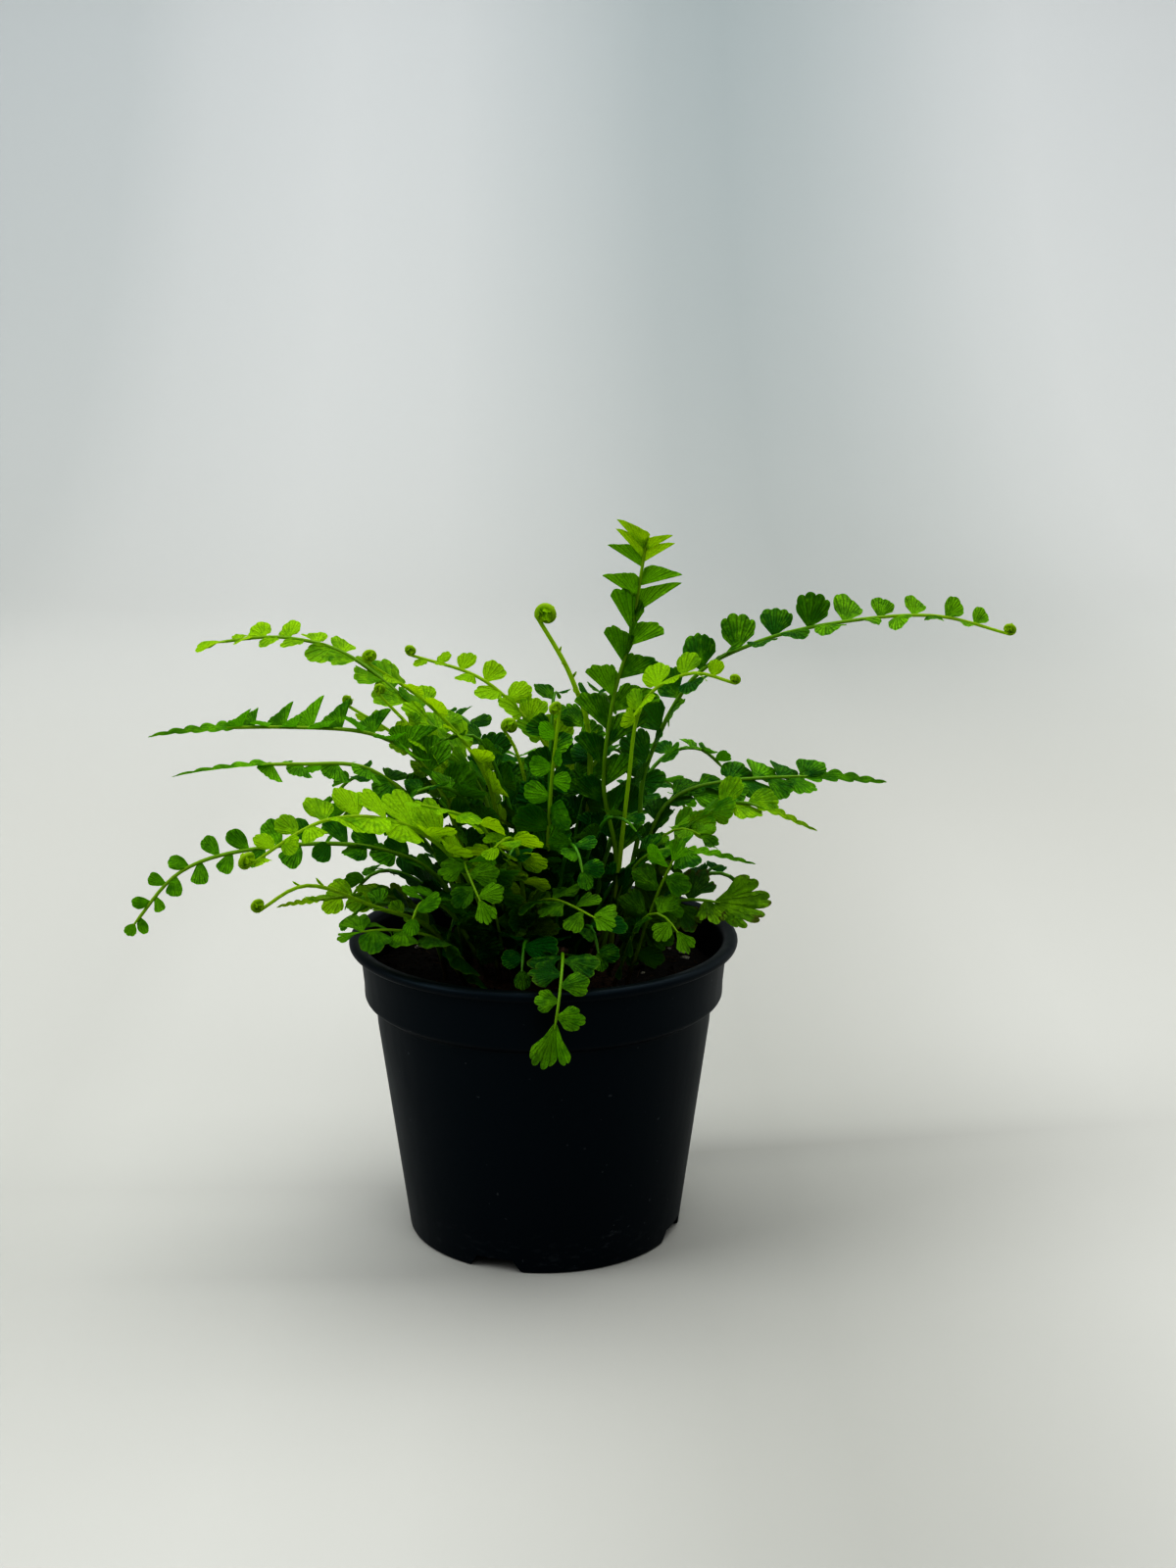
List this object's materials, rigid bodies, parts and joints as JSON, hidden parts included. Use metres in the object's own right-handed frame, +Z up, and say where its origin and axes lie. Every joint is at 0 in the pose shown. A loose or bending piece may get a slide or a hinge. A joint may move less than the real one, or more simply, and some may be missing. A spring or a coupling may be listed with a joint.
{
  "type": "potted fern",
  "caption": "Young fern in a small black plastic nursery pot: arching fronds with scalloped leaflets growing from a crown in dark peat.",
  "frame": {"origin": "centre of the pot's flat underside, on the surface it stands on", "axes": "+Z up; +X towards the tip of the long arching frond; -Y is the front, where one small frond hangs over the rim"},
  "size_m": [0.1963, 0.1256, 0.1611],
  "materials": {
    "pot_plastic": "black injection-moulded plastic, satin, faint scuffs at the foot",
    "peat": "moist dark peat with fibres and a few pale grains",
    "crown": "brown scaly rhizome",
    "leaf_mature": "deep green leaflets, soft sheen",
    "leaf_mid": "mid green leaflets, soft sheen",
    "leaf_young": "lime green young leaflets, thin and slightly see-through"
  },
  "bodies": {
    "root": {"pot": "pot_plastic", "soil": "peat", "crown": "crown", "frond_tall": "leaf_mature", "frond_arching_right": "leaf_mature", "frond_lime_right": "leaf_young", "crosier_stalk": "leaf_young", "crosier_small": "leaf_young", "frond_top_left": "leaf_mature", "frond_lime_left": "leaf_young", "frond_upper_left": "leaf_young", "frond_mid_left": "leaf_mid", "frond_mid_left_low": "leaf_mid", "crosier_left": "leaf_young", "crosier_left_inner": "leaf_young", "frond_near_lime": "leaf_young", "frond_far_left": "leaf_mid", "crosier_low_left": "leaf_young", "frond_low_left": "leaf_young", "frond_pointed_right": "leaf_mid", "frond_second_right": "leaf_young", "frond_low_right": "leaf_mid", "frond_lobed_right": "leaf_mid", "frond_soil_right": "leaf_mid", "frond_front_bright": "leaf_young", "frond_over_rim": "leaf_young", "frond_tip_right": "leaf_mid", "frond_upright_right": "leaf_mid", "frond_row_left": "leaf_young", "frond_bright_mid": "leaf_young", "frond_droop_mid": "leaf_mid", "frond_rim_left": "leaf_mid", "frond_front_left": "leaf_mid", "frond_upright_mid": "leaf_mid", "frond_back_1": "leaf_mid", "frond_back_2": "leaf_mid", "frond_back_3": "leaf_mature", "frond_back_4": "leaf_mid", "frond_back_5": "leaf_mature", "frond_back_6": "leaf_mid", "frond_back_7": "leaf_mid", "frond_inner_1": "leaf_mid", "frond_inner_2": "leaf_mature", "frond_inner_3": "leaf_mid", "frond_inner_4": "leaf_mid", "frond_inner_5": "leaf_mid", "frond_inner_6": "leaf_mature", "frond_inner_7": "leaf_mature", "frond_low_1": "leaf_mid", "frond_low_2": "leaf_mid", "frond_low_3": "leaf_mid", "frond_low_4": "leaf_mid", "frond_low_5": "leaf_mid", "frond_low_6": "leaf_mature", "frond_low_7": "leaf_mid", "frond_low_8": "leaf_mid", "frond_low_9": "leaf_mature"}
  },
  "joints": []
}
